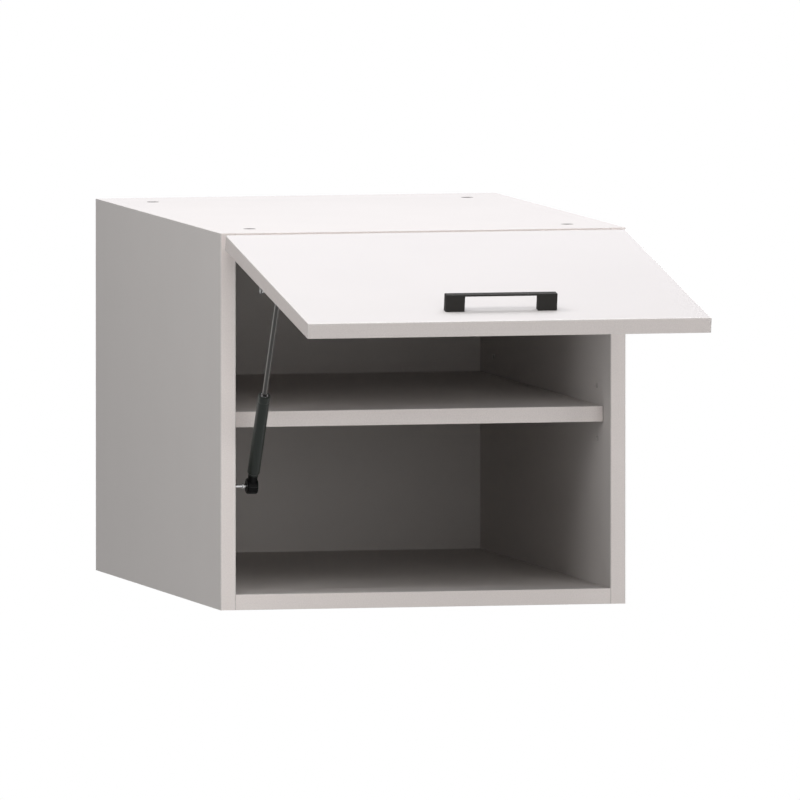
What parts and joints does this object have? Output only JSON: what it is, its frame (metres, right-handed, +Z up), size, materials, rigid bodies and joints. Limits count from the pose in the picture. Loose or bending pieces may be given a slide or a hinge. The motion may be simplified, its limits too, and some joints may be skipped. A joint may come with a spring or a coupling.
{
  "type": "lift-up wall cabinet",
  "caption": "White wall cabinet box with a shelf and a lift-up flap held open by a gas strut on concealed hinges, with a bar handle on the flap.",
  "frame": {"origin": "middle of the back panel's rear face, which meets the wall", "axes": "+X to the right seen from the front, +Y to the wall, +Z up"},
  "size_m": [0.4, 0.9151, 0.363],
  "materials": {
    "board": "melamine-faced chipboard, satin white",
    "back_board": "thin hardboard, white inside",
    "flap_board": "melamine-faced chipboard, satin white",
    "edge_band": "plastic edge band, satin",
    "zinc": "zinc-plated",
    "steel": "nickel-plated",
    "pale_plastic": "moulded",
    "beech": "bare beech",
    "clear_rubber": "soft pad",
    "black_metal": "matt black powder coat",
    "strut_paint": "satin dark grey paint",
    "black_plastic": "moulded"
  },
  "bodies": {
    "carcass": {"left_side": "board", "right_side": "board", "top_panel": "board", "bottom_panel": "board", "back_panel": "back_board", "shelf": "board", "carcass_bands": "edge_band", "shelf_band": "edge_band", "shelf_pins": "steel", "cam_locks": "zinc", "cam_bolts": "steel", "cam_caps": "pale_plastic", "dowels": "beech", "back_nails": "steel", "hanger_housings": "pale_plastic", "hanger_hooks": "zinc", "hanger_screws": "steel", "hinge_plates": "zinc", "hinge_arms": "steel", "hinge_plate_screws": "steel", "strut_foot_screw": "steel"},
    "flap": {"flap_panel": "flap_board", "flap_bands": "edge_band", "flap_bumpers": "clear_rubber", "handle": "black_metal", "handle_screws": "steel", "hinge_cups": "steel", "cup_screw_set": "steel", "strut_bracket": "steel", "bracket_screws": "steel", "strut_head_stud": "steel"},
    "outer_links": {"outer_links": "steel"},
    "inner_links": {"inner_links": "steel"},
    "strut_rod": {"strut_rod": "steel", "strut_piston": "black_plastic", "strut_head_socket": "black_plastic"},
    "strut_tube": {"strut_tube": "strut_paint", "strut_guide": "black_plastic", "strut_foot_socket": "black_plastic", "strut_foot_stud": "steel"}
  },
  "joints": [
    {"name": "flap_swing", "type": "hinge", "parent": "carcass", "child": "flap", "pos_m": [0, -0.5642, 0.1762], "axis": [-1, 0, 0], "range_deg": [-80, 0], "stiffness_Nm_per_rad": 1.5, "springref_deg": 171.89},
    {"name": "outer_link_swing", "type": "hinge", "parent": "flap", "child": "outer_links", "pos_m": [0, -0.5667, 0.16794], "axis": [-1, 0, 0], "range_deg": [0, 101.4]},
    {"name": "inner_link_swing", "type": "hinge", "parent": "flap", "child": "inner_links", "pos_m": [0, -0.56557, 0.16499], "axis": [-1, 0, 0], "range_deg": [0, 121.15]},
    {"name": "strut_swing", "type": "hinge", "parent": "flap", "child": "strut_rod", "pos_m": [-0.165, -0.65069, 0.13231], "axis": [-1, 0, 0], "range_deg": [0, 109.5]},
    {"name": "strut_slide", "type": "slide", "parent": "strut_rod", "child": "strut_tube", "axis": [0, -0.5215, 0.8532], "range_m": [0, 0.08252]}
  ],
  "couplings": [
    {"joint": "outer_link_swing", "follows": "flap_swing", "ratio": -1.2673},
    {"joint": "inner_link_swing", "follows": "flap_swing", "ratio": -1.5141},
    {"joint": "strut_swing", "follows": "flap_swing", "ratio": -1.3686},
    {"joint": "strut_slide", "follows": "flap_swing", "m_per_rad": -0.059096}
  ]
}
